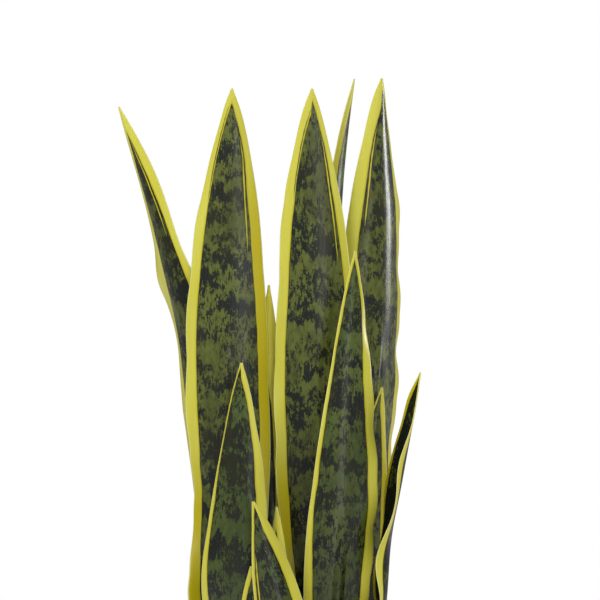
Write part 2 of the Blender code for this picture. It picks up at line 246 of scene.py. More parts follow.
def makeLeafGroup(sliver):
    group, given, found = newGroup(
        "leafMarkings",
        [("Across", floatSocket, 0.0), ("Along", floatSocket, 0.0), ("Margin Gap", floatSocket, 0.0),
         ("Leaf Height", floatSocket, 0.5), ("Seed", floatSocket, 0.0),
         ("Left Margin", floatSocket, 0.008), ("Right Margin", floatSocket, 0.008),
         ("Left Tip", floatSocket, 0.0045), ("Right Tip", floatSocket, 0.0045),
         ("Dark Share", floatSocket, 0.5), ("Coolness", floatSocket, 0.0), ("Goldness", floatSocket, 0.0),
         ("Gold Start", floatSocket, 0.08), ("Left Growth", floatSocket, 0.0), ("Depth", floatSocket, 0.0),
         ("Freshness", floatSocket, 0.0),
         ("Line Side", floatSocket, 1.0), ("Line Start", floatSocket, 10.0),
         ("Line End", floatSocket, 11.0), ("Sliver Start", floatSocket, 10.0),
         ("Sliver End", floatSocket, 11.0), ("Fold Place", floatSocket, 0.0)],
        [("Colour", colourSocket), ("Roughness", floatSocket), ("Relief", floatSocket),
         ("Fold", floatSocket)])
    tree, pattern = group, leafPattern
    across, along, seed = given["Across"], given["Along"], given["Seed"]

    def stretched(repeats):  # the place on the leaf, with these repeats to the metre
        return place(tree, calculate(tree, "MULTIPLY", across, repeats[0]),
                     calculate(tree, "MULTIPLY", along, repeats[1]), seed)

    def swing(value, amount):  # a noise value, centred on nought
        return calculate(tree, "MULTIPLY", calculate(tree, "SUBTRACT", value, 0.5), amount)

    # the yellow margins, narrower at the tip, with a border that wanders a little
    tipGap = calculate(tree, "SUBTRACT", given["Leaf Height"], along)
    rightSide = ramp(tree, across, -pattern["midribBlend"], pattern["midribBlend"])
    sideWidth = addNode(tree, "ShaderNodeMix", {0: rightSide, 2: given["Left Margin"],
                                                3: given["Right Margin"]}).outputs[0]
    tipWidth = addNode(tree, "ShaderNodeMix", {0: rightSide, 2: given["Left Tip"],
                                               3: given["Right Tip"]}).outputs[0]
    width = addNode(tree, "ShaderNodeMix", {0: ramp(tree, tipGap, *pattern["tipToSide"]),
                                            2: tipWidth, 3: sideWidth}).outputs[0]
    growth = calculate(tree, "MULTIPLY", given["Left Growth"], calculate(tree, "POWER", tipGap, 3.0))
    growth = calculate(tree, "MINIMUM", growth, pattern["mostGrowth"])
    growth = calculate(tree, "MULTIPLY", growth, calculate(tree, "SUBTRACT", 1.0, rightSide))
    width = calculate(tree, "ADD", width, growth)
    sideSeed = calculate(tree, "MULTIPLY_ADD", rightSide, 3.7, seed)
    repeats, amount = pattern["wander"]
    wander = noise(tree, place(tree, 0.0, calculate(tree, "MULTIPLY", along, repeats), sideSeed), 1.0, 1.0)
    width = calculate(tree, "ADD", width, swing(wander, amount))
    acrossRepeats, alongRepeats, amount = pattern["fineWander"]
    fineWander = noise(tree, place(tree, calculate(tree, "MULTIPLY", across, acrossRepeats),
                                   calculate(tree, "MULTIPLY", along, alongRepeats), sideSeed))
    width = calculate(tree, "ADD", width, swing(fineWander, amount))
    borderGap = calculate(tree, "SUBTRACT", given["Margin Gap"], width)
    margin = ramp(tree, borderGap, pattern["borderBlend"], -pattern["borderBlend"])

    # a thin yellow line in the green, dark on both sides, and a thin dark sliver in the other margin
    onLineSide = ramp(tree, calculate(tree, "MULTIPLY", across, given["Line Side"]),
                      -pattern["midribBlend"], pattern["midribBlend"])
    line = addNode(tree, "ShaderNodeGroup", {
        "Border Gap": borderGap, "Along": along, **pattern["line"],
        "Start": given["Line Start"], "End": given["Line End"]}, node_tree=sliver)
    split = addNode(tree, "ShaderNodeGroup", {
        "Border Gap": borderGap, "Along": along, **pattern["split"],
        "Start": given["Sliver Start"], "End": given["Sliver End"]}, node_tree=sliver)
    lineMask = calculate(tree, "MULTIPLY", line.outputs[0], onLineSide)
    lineHalo = calculate(tree, "MULTIPLY", line.outputs[1], onLineSide)
    splitMask = calculate(tree, "MULTIPLY", split.outputs[0], calculate(tree, "SUBTRACT", 1.0, onLineSide))
    margin = calculate(tree, "MULTIPLY", margin, calculate(tree, "SUBTRACT", 1.0, lineHalo))
    margin = calculate(tree, "MAXIMUM", margin, lineMask)

    # dark bands: patches that lie across the leaf, broken up by blots, dots and upright flecks
    fleck = noise(tree, stretched(pattern["fleck"]), 1.0, 3.0, 0.6)
    blot = noise(tree, stretched(pattern["blot"]), 1.0, 3.0, 0.62)
    dot = noise(tree, stretched(pattern["dot"]))
    drift = noise(tree, stretched(pattern["drift"]))
    moved = calculate(tree, "ADD", along, swing(drift, pattern["drift"][2]))
    field = noise(tree, place(tree, calculate(tree, "MULTIPLY", across, pattern["band"][0]),
                              calculate(tree, "MULTIPLY", moved, pattern["band"][1]), seed))
    for value, label in ((blot, "blot"), (fleck, "fleck"), (dot, "dot")):
        field = calculate(tree, "ADD", field, swing(value, pattern[label][2]))
    field = calculate(tree, "ADD", field, calculate(tree, "SUBTRACT", given["Dark Share"], 0.5))
    dark = ramp(tree, field, pattern["darkFrom"], pattern["darkTo"])

    # greens
    broad = noise(tree, stretched(pattern["broad"]))
    tone = calculate(tree, "ADD", calculate(tree, "MULTIPLY", blot, 0.5), calculate(
        tree, "MULTIPLY", broad, 0.5))
    green = blend(tree, ramp(tree, tone, 0.58, 0.40), leafColours["dullGreen"], leafColours["brightGreen"])
    green = blend(tree, given["Coolness"], green, leafColours["coolGreen"])
    deep = blend(tree, ramp(tree, broad, 0.4, 0.7), leafColours["darkGreen"], leafColours["darkOlive"])
    face = blend(tree, dark, green, deep)
    besideBorder = ramp(tree, borderGap, 0.0012, 0.0002, 0.0, pattern["besideBorder"])
    besideLine = calculate(tree, "MULTIPLY", lineHalo, pattern["besideLine"])
    face = blend(tree, calculate(tree, "MAXIMUM", besideBorder, besideLine), face, leafColours["darkOlive"])

    # yellows: faint lines along the leaf, deeper beside the green, and painted shade: gold low down and, on
    # some, at the right
    vein = noise(tree, stretched(pattern["vein"]))
    paleness = calculate(tree, "MULTIPLY_ADD", vein, 0.35, 0.05)
    paleness = calculate(tree, "MULTIPLY_ADD", broad, 0.85, paleness)
    beside = ramp(tree, borderGap, -0.0016, -0.0004, 0.0, pattern["besideGreen"])
    paleness = calculate(tree, "SUBTRACT", paleness, beside, clamp=True)
    yellow = blend(tree, paleness, leafColours["deepYellow"], leafColours["paleYellow"])
    fromRightShadeStart = calculate(tree, "SUBTRACT", tipGap, given["Gold Start"])
    marginShade = calculate(tree, "MULTIPLY", rightSide, ramp(tree, fromRightShadeStart, 0.0, pattern["rightShadeFade"]))
    marginShade = calculate(tree, "MULTIPLY", marginShade, given["Goldness"])
    marginShadeFrom, marginShadeTo, marginShadeShare = pattern["lowMarginShade"]
    marginShade = calculate(tree, "MAXIMUM", marginShade, ramp(tree, tipGap, marginShadeFrom, marginShadeTo, 0.0, marginShadeShare))
    marginShade = calculate(tree, "MULTIPLY", marginShade, calculate(tree, "SUBTRACT", 1.0, lineMask))
    yellow = blend(tree, marginShade, yellow, leafColours["gold"])
    # painted light: the yellow is lifted towards a bright lemon on leaves whose margins sit in the shade of
    # others
    yellow = blend(tree, given["Freshness"], yellow, leafColours["fresh"])

    # painted shade: the green is darker low down, where the leaves shade each other, and darker all over on
    # leaves that sit in shade
    shadeFrom, shadeTo, shadeShare = pattern["lowShade"]
    shade = calculate(tree, "MAXIMUM", given["Depth"], ramp(tree, along, shadeFrom, shadeTo, 0.0, shadeShare))
    face = blend(tree, shade, face, leafColours["black"])
    surface = blend(tree, margin, face, yellow)
    splitShare = calculate(tree, "MULTIPLY", splitMask, pattern["splitDepth"])
    surface = blend(tree, splitShare, surface, leafColours["darkOlive"])
    # painted highlight: a pale line along the very edge, where the thin margin catches the light
    rimFrom, rimTo, rimShare = pattern["rimHighlight"]
    edge = ramp(tree, given["Margin Gap"], rimFrom, rimTo, 0.0, rimShare)
    surface = blend(tree, edge, surface, leafColours["edge"])
    tree.links.new(surface, found["Colour"])

    # gloss is broken up along the leaf, and the veins stand a little proud
    streak = noise(tree, stretched(pattern["streak"]))
    roughness = calculate(tree, "MULTIPLY_ADD", fleck, pattern["fleckRoughness"], pattern["roughness"])
    roughness = calculate(tree, "ADD", roughness, swing(streak, pattern["streak"][2]))
    roughness = calculate(tree, "MULTIPLY_ADD", margin, pattern["marginRoughness"], roughness)
    tree.links.new(roughness, found["Roughness"])
    relief = calculate(tree, "ADD", calculate(tree, "MULTIPLY", vein, 0.6), calculate(
        tree, "MULTIPLY", fleck, 0.4))
    tree.links.new(relief, found["Relief"])

    # the blade is folded along the middle, low down
    foldGap = calculate(tree, "ABSOLUTE", calculate(tree, "SUBTRACT", across, given["Fold Place"]))
    fold = calculate(tree, "MULTIPLY", ramp(tree, foldGap, pattern["foldHalfWidth"], 0.0),
                     ramp(tree, tipGap, *pattern["foldStart"]))
    tree.links.new(fold, found["Fold"])
    return group


leafGroup = makeLeafGroup(makeSliverGroup())


def makeLeafMaterial(name, leaf):
    material, tree, shader = newMaterial(name, 0.30)
    marks = leaf["markings"]
    group = addNode(tree, "ShaderNodeGroup", node_tree=leafGroup)
    for label, attribute in (("Across", "acrossLeaf"), ("Along", "alongLeaf"), ("Margin Gap", "marginGap")):
        found = addNode(tree, "ShaderNodeAttribute", attribute_name=attribute)
        tree.links.new(found.outputs["Fac"], group.inputs[label])
    tall = leaf["path"][-1][2]
    # the depth marking is painted shade that darkens the green of the whole leaf
    settings = {
        "Leaf Height": tall, "Seed": marks["seed"], "Left Margin": marks["leftMargin"],
        "Right Margin": marks["rightMargin"], "Left Tip": marks.get("leftTip", 0.0045),
        "Right Tip": marks.get("rightTip", 0.0045), "Dark Share": marks.get("darkShare", 0.5),
        "Coolness": marks.get("coolness", 0.0), "Goldness": marks.get("goldness", 0.0),
        "Line Side": marks.get("lineSide", 1), "Fold Place": marks.get("foldPlace", 0.0),
        "Gold Start": marks.get("goldStart", 0.08), "Left Growth": marks.get("leftGrowth", 0.0),
        "Depth": marks.get("depth", 0.0), "Freshness": marks.get("freshness", 0.0),
    }
    for mark, label in (("line", "Line"), ("sliver", "Sliver")):
        if mark in marks:
            settings[label + " Start"] = marks[mark][0] * tall
            settings[label + " End"] = marks[mark][1] * tall
    for label, value in settings.items():
        group.inputs[label].default_value = value
    tree.links.new(group.outputs["Colour"], shader.inputs["Base Color"])
    tree.links.new(group.outputs["Roughness"], shader.inputs["Roughness"])
    folded = addNode(tree, "ShaderNodeBump", {"Height": group.outputs["Fold"], "Strength": 1.0,
                                              "Distance": leafPattern["foldDepth"]})
    bump = addNode(tree, "ShaderNodeBump", {
        "Height": group.outputs["Relief"], "Strength": leafPattern["reliefStrength"],
        "Distance": leafPattern["reliefDepth"], "Normal": folded.outputs["Normal"]})
    tree.links.new(bump.outputs["Normal"], shader.inputs["Normal"])
    shader.inputs["IOR"].default_value = leafPattern["refraction"]
    shader.inputs["Specular IOR Level"].default_value = marks.get("gloss", 0.40)
    return material


# Leaves. Each midrib runs through the points of its path: x, y and height above the soil. neck
# and width are its breadth at the soil and at its widest, turn is the way it faces in degrees and
# twist what is added by the tip, channel and cup are how far its margins lie behind the midrib,
# low down and higher up. A wave is its height, its count and where it starts, and a ripple lists
# shares of the height with how far the margin moves outwards and backwards there. In markings,
# line and sliver run between two shares of the height, and goldStart, where the painted shade of
# the right margin begins, is measured from the tip.

leafBuild = {
    "soilTop": 0.150, "footDepth": 0.025, "footRows": 2, "rowSpacing": 0.0075, "tipCrowding": 1.2,
    "columns": 16, "tipWidth": 0.002, "tipTaper": 0.82, "neckSwell": 0.6, "footThickness": 0.0042,
    "bladeThickness": 0.0026, "marginShare": 0.40, "channelEnds": 0.45, "cupPower": 2.0,
    "wavePower": 3, "waveStart": 0.3, "sidewaysWave": 0.5, "footCurl": 0.12, "leastMove": 0.00002,
    "thinFrom": 0.6,
}

leaves = {
    "leafTallLeft": {
        "node": "leaf_tall_left",
        "path": [(-0.044, 0.008, 0), (-0.053, 0.012, 0.142), (-0.0512, 0.014, 0.240),
                 (-0.0545, 0.013, 0.390), (-0.0525, 0.010, 0.485), (-0.0493, 0.005, 0.571)],
        "neck": 0.038, "width": 0.0688, "widest": 0.55, "fullness": 2.25, "turn": -4, "twist": 4,
        "channel": -0.018, "cup": 0.006,
        "leftWave": (0.004, 4.2, 0.75), "rightWave": (0.002, 3.0, 0.55),
        "leftRipple": [(0, 0, 0), (0.244, 0.0045, 0), (0.285, 0, 0), (0.333, -0.0022, 0),
                       (0.365, -0.0022, 0), (0.405, -0.0048, 0), (0.45, -0.0010, 0), (0.50, 0.0012, 0),
                       (0.575, 0.0005, 0), (0.66, -0.0002, 0), (0.744, -0.0012, 0), (0.81, 0, 0),
                       (0.87, -0.0018, 0), (0.93, -0.0016, 0), (1, 0, 0)],
        "rightRipple": [(0.55, 0, 0), (0.62, 0.0010, 0), (0.95, 0.0008, 0), (1, 0, 0)],
        "markings": {"seed": 1.0, "leftMargin": 0.0088, "rightMargin": 0.0085, "leftTip": 0.0060,
                     "rightTip": 0.0052, "line": (0.755, 0.93), "sliver": (0.83, 0.98),
                     "goldness": 1.0, "goldStart": 0.05, "foldPlace": -0.0015},
    },
    "leafTallMiddle": {
        "node": "leaf_tall_middle",
        "path": [(0.034, 0.004, 0), (0.026, 0.010, 0.170), (0.0212, 0.013, 0.300),
                 (0.0205, 0.012, 0.425), (0.018, 0.010, 0.510), (0.0187, 0.006, 0.571)],
        "neck": 0.038, "width": 0.0688, "widest": 0.55, "fullness": 2.25, "turn": 3, "twist": -3,
        "channel": -0.018, "cup": 0.006,
        "leftWave": (0.004, 4.2, 0.75), "rightWave": (0.002, 3.0, 0.00),
        "leftRipple": [(0.36, 0, 0), (0.58, -0.0010, 0), (0.67, -0.0022, 0), (0.745, -0.0012, 0),
                       (0.80, 0, 0), (0.84, -0.0002, 0), (0.90, -0.0018, 0), (0.97, 0, 0)],
        "markings": {"seed": 7.3, "leftMargin": 0.0095, "rightMargin": 0.0068, "leftTip": 0.0078,
                     "rightTip": 0.0044, "line": (0.74, 0.93), "sliver": (0.83, 0.98),
                     "foldPlace": 0.0030, "darkShare": 0.455},
    },
    "leafTallRight": {
        "node": "leaf_tall_right",
        "path": [(0.052, 0.032, 0), (0.069, 0.038, 0.262), (0.075, 0.037, 0.330),
                 (0.079, 0.034, 0.453), (0.0775, 0.028, 0.530), (0.0782, 0.022, 0.580)],
        "neck": 0.032, "width": 0.069, "widest": 0.55, "fullness": 2.25, "turn": 38, "twist": 0,
        "channel": 0.011, "cup": 0.020,
        "leftWave": (0.003, 5.0, 0.20), "rightWave": (0.004, 8.3, 0.34),
        "leftRipple": [(0.55, 0, 0), (0.74, -0.0024, 0), (0.91, -0.0032, 0), (1, 0, 0)],
        "rightRipple": [(0.35, 0, 0), (0.44, 0.0020, -0.0010), (0.478, 0.0035, -0.0020),
                        (0.522, 0.0010, 0), (0.575, 0.0022, -0.0012), (0.61, 0, 0), (0.65, 0, 0),
                        (0.698, 0.0018, -0.0012), (0.74, 0, 0), (0.77, 0, 0), (0.82, 0.0032, -0.0020),
                        (0.88, 0, 0)],
        "markings": {"seed": 12.9, "leftMargin": 0.0092, "rightMargin": 0.0096, "leftTip": 0.0088,
                     "rightTip": 0.0040, "lineSide": -1, "line": (0.78, 0.93), "goldness": 0.4},
    },
    "leafLeaningLeft": {
        "node": "leaf_leaning_left",
        "path": [(-0.058, 0.028, 0), (-0.074, 0.040, 0.200), (-0.085, 0.043, 0.312),
                 (-0.093, 0.042, 0.370), (-0.110, 0.038, 0.435), (-0.1205, 0.036, 0.475),
                 (-0.146, 0.030, 0.556)],
        "neck": 0.034, "width": 0.054, "widest": 0.55, "fullness": 2.25, "turn": -57, "twist": 0,
        "channel": 0.013, "cup": 0.012,
        "leftWave": (0.003, 4.0, 0.71), "rightWave": (0.005, 4.4, 0.11),
        "leftRipple": [(0.48, 0, 0), (0.55, 0.0005, -0.0015), (0.60, 0.0010, -0.0026),
                       (0.64, 0.0010, -0.0012), (0.691, 0.0015, -0.0022), (0.728, 0.0028, -0.0044),
                       (0.80, 0, 0.0010), (0.86, 0, 0)],
        "rightRipple": [(0.69, 0, 0), (0.77, 0, -0.0026), (0.84, 0, 0)],
        "markings": {"seed": 21.4, "leftMargin": 0.0185, "rightMargin": 0.0062, "leftTip": 0.0100,
                     "rightTip": 0.0066, "darkShare": 0.47, "depth": 0.30, "line": (0.80, 0.95),
                     "gloss": 0.15},
    },
    "leafSlimBack": {
        "node": "leaf_slim_back",
        "path": [(0.016, 0.054, 0), (0.032, 0.057, 0.300), (0.0425, 0.055, 0.480),
                 (0.0475, 0.053, 0.530), (0.055, 0.049, 0.580)],
        "neck": 0.030, "width": 0.046, "widest": 0.48, "fullness": 2.0, "turn": 64, "twist": 0,
        "channel": 0.011, "cup": 0.009,
        "leftWave": (0.002, 3.0, 0.10), "rightWave": (0.002, 3.4, 0.50),
        "markings": {"seed": 27.7, "leftMargin": 0.0065, "rightMargin": 0.0055},
    },
    "leafFrontRight": {
        "node": "leaf_front_right",
        "path": [(0.031, -0.032, 0), (0.0405, -0.040, 0.142), (0.0485, -0.042, 0.240),
                 (0.0525, -0.041, 0.340), (0.0553, -0.038, 0.433)],
        "neck": 0.036, "width": 0.058, "widest": 0.48, "fullness": 1.3, "turn": 12, "twist": 4,
        "channel": 0.014, "cup": 0.009,
        "leftWave": (0.002, 2.0, 0.20), "rightWave": (0.005, 5.1, 0.94),
        "markings": {"seed": 33.2, "leftMargin": 0.0022, "rightMargin": 0.0090, "coolness": 0.40,
                     "leftGrowth": 0.21, "leftTip": 0.0020, "rightTip": 0.0026, "darkShare": 0.49},
    },
    "leafFrontLeft": {
        "node": "leaf_front_left",
        "path": [(-0.038, -0.034, 0), (-0.0495, -0.041, 0.142), (-0.0445, -0.043, 0.230),
                 (-0.0411, -0.041, 0.338)],
        "neck": 0.036, "width": 0.056, "widest": 0.45, "fullness": 1.6, "turn": -14, "twist": 0,
        "channel": 0.014, "cup": 0.009,
        "leftWave": (0.002, 2.0, 0.60), "rightWave": (0.003, 3.0, 0.20),
        "markings": {"seed": 41.8, "leftMargin": 0.0028, "rightMargin": 0.0080, "coolness": 0.45,
                     "leftGrowth": 0.49, "leftTip": 0.0016, "rightTip": 0.0045, "darkShare": 0.52},
    },
    "leafSmallFront": {
        "node": "leaf_small_front",
        "path": [(0.012, -0.062, 0), (0.003, -0.068, 0.080), (-0.010, -0.070, 0.142),
                 (-0.0232, -0.071, 0.198), (-0.0312, -0.071, 0.221)],
        "neck": 0.032, "width": 0.046, "widest": 0.45, "fullness": 1.75, "turn": 8, "twist": 0,
        "channel": 0.012, "cup": 0.007,
        "leftWave": (0.001, 2.0, 0.00), "rightWave": (0.002, 2.0, 0.50),
        "markings": {"seed": 48.1, "leftMargin": 0.0028, "rightMargin": 0.0098, "coolness": 0.4,
                     "leftTip": 0.0022, "rightTip": 0.0090, "lineSide": -1, "line": (0.45, 0.80)},
    },
    "leafWavyRight": {
        "node": "leaf_wavy_right",
        "path": [(0.066, -0.014, 0), (0.081, -0.016, 0.136), (0.085, -0.017, 0.190),
                 (0.0935, -0.018, 0.236), (0.111, -0.022, 0.330)],
        "neck": 0.034, "width": 0.052, "widest": 0.50, "fullness": 2.0, "turn": 75, "twist": 35,
        "channel": 0.010, "cup": 0.008,
        "leftWave": (0.005, 3.9, 0.23), "rightWave": (0.004, 3.6, 0.59),
        "rightRipple": [(0.75, 0, 0), (0.84, 0, 0.0020), (0.93, 0, 0.0026), (1, 0, 0)],
        "markings": {"seed": 55.5, "leftMargin": 0.0070, "rightMargin": 0.0027, "leftTip": 0.0042,
                     "rightTip": 0.0022, "goldness": 1.0, "goldStart": -0.05, "darkShare": 0.60,
                     "depth": 0.10, "gloss": 0.05},
    },
    "leafShortRight": {
        "node": "leaf_short_right",
        "path": [(0.052, 0.016, 0), (0.063, 0.022, 0.136), (0.071, 0.022, 0.250),
                 (0.0783, 0.020, 0.317)],
        "neck": 0.022, "width": 0.036, "widest": 0.45, "fullness": 2.0, "turn": 15, "twist": 0,
        "channel": 0.008, "cup": 0.005,
        "leftWave": (0.002, 3.0, 0.20), "rightWave": (0.002, 3.0, 0.60),
        "markings": {"seed": 62.6, "leftMargin": 0.0018, "rightMargin": 0.0066, "leftTip": 0.0012,
                     "rightTip": 0.0046, "goldness": 1.0, "goldStart": 0.0},
    },
    "leafNarrowBack": {
        "node": "leaf_narrow_back",
        "path": [(-0.020, 0.034, 0), (-0.019, 0.036, 0.250), (-0.018, 0.034, 0.404)],
        "neck": 0.024, "width": 0.034, "widest": 0.45, "fullness": 2.0, "turn": -6, "twist": 0,
        "channel": 0.009, "cup": 0.005,
        "leftWave": (0.002, 3.0, 0.40), "rightWave": (0.002, 3.0, 0.90),
        "markings": {"seed": 69.0, "leftMargin": 0.0095, "rightMargin": 0.0100, "darkShare": 0.62,
                     "leftTip": 0.0130, "rightTip": 0.0130, "freshness": 0.9},
    },
    "leafYoungMiddle": {
        "node": "leaf_young_middle",
        "path": [(-0.006, -0.016, 0), (-0.012, -0.022, 0.120), (-0.0113, -0.026, 0.216)],
        "neck": 0.020, "width": 0.027, "widest": 0.40, "fullness": 2.0, "turn": -30, "twist": 0,
        "channel": 0.007, "cup": 0.006,
        "leftWave": (0.001, 2.0, 0.10), "rightWave": (0.001, 2.0, 0.60),
        "markings": {"seed": 75.9, "leftMargin": 0.0050, "rightMargin": 0.0040, "freshness": 0.6},
    },
    "leafYoungLeft": {
        "node": "leaf_young_left",
        "path": [(-0.022, -0.052, 0), (-0.029, -0.055, 0.090), (-0.0327, -0.056, 0.166)],
        "neck": 0.020, "width": 0.034, "widest": 0.45, "fullness": 2.0, "turn": -12, "twist": 0,
        "channel": 0.007, "cup": 0.006,
        "leftWave": (0.001, 2.0, 0.30), "rightWave": (0.001, 2.0, 0.80),
        "markings": {"seed": 83.3, "leftMargin": 0.0120, "rightMargin": 0.0120},
    },
}


def pathAt(path, height):  # the midrib's x and y at this height, on a smooth curve
    last = len(path) - 1
    index = 0
    while index < last - 1 and height > path[index + 1][2]:
        index += 1
    start, end = path[index], path[index + 1]
    span = end[2] - start[2]
    share = (height - start[2]) / span
    found = []
    for axis in (0, 1):
        slopes = []
        for stop in (index, index + 1):
            before, after = path[max(stop - 1, 0)], path[min(stop + 1, last)]
            slopes.append((after[axis] - before[axis]) / (after[2] - before[2]))
        if share < 0:
            found.append(start[axis] + slopes[0] * (height - start[2]))
            continue
        square, cube = share**2, share**3
        found.append(
            (2 * cube - 3 * square + 1) * start[axis] + (cube - 2 * square + share) * span * slopes[0]
            + (3 * square - 2 * cube) * end[axis] + (cube - square) * span * slopes[1])
    return found


def halfWidth(leaf, rise):
    if rise < leaf["widest"]:
        share = math.sin(math.pi / 2 * max(rise, 0) / leaf["widest"]) ** leafBuild["neckSwell"]
        return mix(leaf["neck"], leaf["width"], share) / 2
    reach = (rise - leaf["widest"]) / (1 - leaf["widest"])
    full = leaf["width"] * (1 - reach ** leaf["fullness"]) ** leafBuild["tipTaper"]
    return max(full, leafBuild["tipWidth"]) / 2


def marginDepth(leaf, rise):
    blade = leaf["cup"] * halfWidth(leaf, rise) / (leaf["width"] / 2)
    return mix(leaf["channel"], blade, smoothStep(rise / leafBuild["channelEnds"]))


def rippleAt(ripple, rise):  # outwards and backwards, between (share of height, outwards, backwards)
    for start, end in zip(ripple, ripple[1:]):
        if start[0] <= rise <= end[0]:
            share = smoothStep((rise - start[0]) / (end[0] - start[0]))
            return mix(start[1], end[1], share), mix(start[2], end[2], share)
    return 0, 0


def marginWave(leaf, rise, across):  # how far a point moves outwards and backwards
    side = abs(across)
    height, count, phase = leaf["leftWave"] if across < 0 else leaf["rightWave"]
    angle = 2 * math.pi * (count * rise + phase)
    swell = height * smoothStep(rise / leafBuild["waveStart"]) * (1 - max(rise, 0) ** 3)
    swell *= side ** leafBuild["wavePower"]
    curl = mix(leafBuild["footCurl"], 0, smoothStep(rise / leafBuild["channelEnds"])) * side**4
    outwards = leafBuild["sidewaysWave"] * swell * abs(math.cos(angle)) - side * halfWidth(leaf, rise) * curl
    backwards = swell * math.sin(angle)
    ripple = rippleAt(leaf.get("leftRipple" if across < 0 else "rightRipple", []), rise)
    outwards += ripple[0] * side ** leafBuild["wavePower"]
    backwards += ripple[1] * side ** leafBuild["wavePower"]
    return (outwards if across > 0 else -outwards), backwards


def thicknessAt(leaf, rise, across):
    thin = leafBuild["bladeThickness"] * leafBuild["marginShare"]
    middle = mix(leafBuild["footThickness"], leafBuild["bladeThickness"],
                 smoothStep(rise / leafBuild["channelEnds"]))
    middle = mix(middle, thin, smoothStep((rise - leafBuild["thinFrom"]) / (1 - leafBuild["thinFrom"])))
    return mix(middle, thin, across**2)


def rowHeights(leaf):
    tall, foot = leaf["path"][-1][2], leafBuild["footDepth"]
    rows = round(tall / leafBuild["rowSpacing"])
    feet = [foot * (row / leafBuild["footRows"] - 1) for row in range(leafBuild["footRows"])]
    return feet + [tall * (1 - (1 - row / rows) ** leafBuild["tipCrowding"]) for row in range(rows + 1)]


def makeLeaf(name, leaf):
    heights = rowHeights(leaf)
    columns, rows = leafBuild["columns"], len(heights) - 1
    clearSelection()
    bpy.ops.mesh.primitive_grid_add(x_subdivisions=columns, y_subdivisions=rows, size=2,
                                    location=(0, 0, 0), rotation=(math.pi / 2, 0, 0))
    piece = bpy.context.object
    piece.name = name
    piece.data.name = name
    applyPlace(piece)
    rowPoints = [[None] * (columns + 1) for row in range(rows + 1)]
    for vertex in piece.data.vertices:
        row, column = round((vertex.co.z + 1) / 2 * rows), round((vertex.co.x + 1) / 2 * columns)
        rowPoints[row][column] = vertex.index

    editPoints(piece)
    for column in range(columns + 1):  # the section's curve, scaled to each row's depth below
        side = abs(2 * column / columns - 1)
        selectPoints(piece, [points[column] for points in rowPoints])
        bpy.ops.transform.translate(value=(0, side ** leafBuild["cupPower"], 0))
    for row, height in enumerate(heights):
        rise = height / leaf["path"][-1][2]
        level = 2 * row / rows - 1
        middle = (0, 0, leafBuild["soilTop"] + height)
        selectPoints(piece, rowPoints[row])
        bpy.ops.transform.translate(value=(0, 0, middle[2] - level))
        bpy.ops.transform.resize(value=(halfWidth(leaf, rise), marginDepth(leaf, rise), 1),
                                 center_override=middle)
        for column in range(columns + 1):
            across = 2 * column / columns - 1
            outwards, backwards = marginWave(leaf, rise, across)
            if abs(outwards) + abs(backwards) > leafBuild["leastMove"]:
                selectPoints(piece, [rowPoints[row][column]])
                bpy.ops.transform.translate(value=(outwards, backwards, 0))
        selectPoints(piece, rowPoints[row])
        facing = math.radians(leaf["turn"] + leaf["twist"] * max(rise, 0))
        bpy.ops.transform.rotate(value=-facing, orient_axis="Z", center_override=middle)
        x, y = pathAt(leaf["path"], height)
        bpy.ops.transform.translate(value=(x, y, 0))
    bpy.ops.object.mode_set(mode="OBJECT")

    measures = {label: [0.0] * len(piece.data.vertices) for label in ("acrossLeaf", "alongLeaf", "marginGap")}
    thickest = leafBuild["footThickness"]
    group = piece.vertex_groups.new(name="thickness")
    for row, height in enumerate(heights):
        rise = height / leaf["path"][-1][2]
        half = halfWidth(leaf, rise)
        for column in range(columns + 1):
            across = 2 * column / columns - 1
            point = rowPoints[row][column]
            measures["acrossLeaf"][point] = across * half
            measures["alongLeaf"][point] = height
            measures["marginGap"][point] = (1 - abs(across)) * half
            group.add([point], thicknessAt(leaf, rise, across) / thickest, "REPLACE")
    for label, values in measures.items():
        piece.data.attributes.new(label, "FLOAT", "POINT").data.foreach_set("value", values)
    thicken = piece.modifiers.new("Thickness", "SOLIDIFY")
    thicken.thickness = thickest
    thicken.offset = 0
    thicken.vertex_group = group.name
    smooth = piece.modifiers.new("Smooth", "SUBSURF")
    smooth.levels = smooth.render_levels = 1
    applyModifiers(piece)
    outwardNormals(piece)
    bpy.ops.object.shade_smooth()
    piece.data.materials.append(makeLeafMaterial(name, leaf))
    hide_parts(leaf["node"])
    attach(piece, "root")


for leafName, leafValues in leaves.items():
    makeLeaf(leafName, leafValues)
print("leaves made:", len(leaves))


# Pot, turned on the wheel from the foot up: rings holds each ring's radius and height

pot = {
    "rings": [(0.068, 0.0), (0.0896, 0.136), (0.0946, 0.136), (0.100, 0.170), (0.087, 0.170),
              (0.0616, 0.010)],
    "segments": 128, "rounding": 0.0022, "roundingSteps": 4, "sharpAngle": math.radians(35),
    "drainRadius": 0.0065, "drainRing": 0.036, "drainHoles": 3, "drillDepth": 0.03, "drillHeight": 0.005,
    "clay": colour(186, 104, 66), "paleClay": colour(212, 142, 104), "darkClay": colour(140, 72, 44),
    "lime": colour(226, 206, 186), "patches": 14.0, "grain": 900.0, "turning": (8.0, 8.0, 520.0),
    "bloom": 38.0, "bloomTop": 0.06, "reliefDepth": 0.0006, "roughness": 0.78, "grainRoughness": 0.16,
}


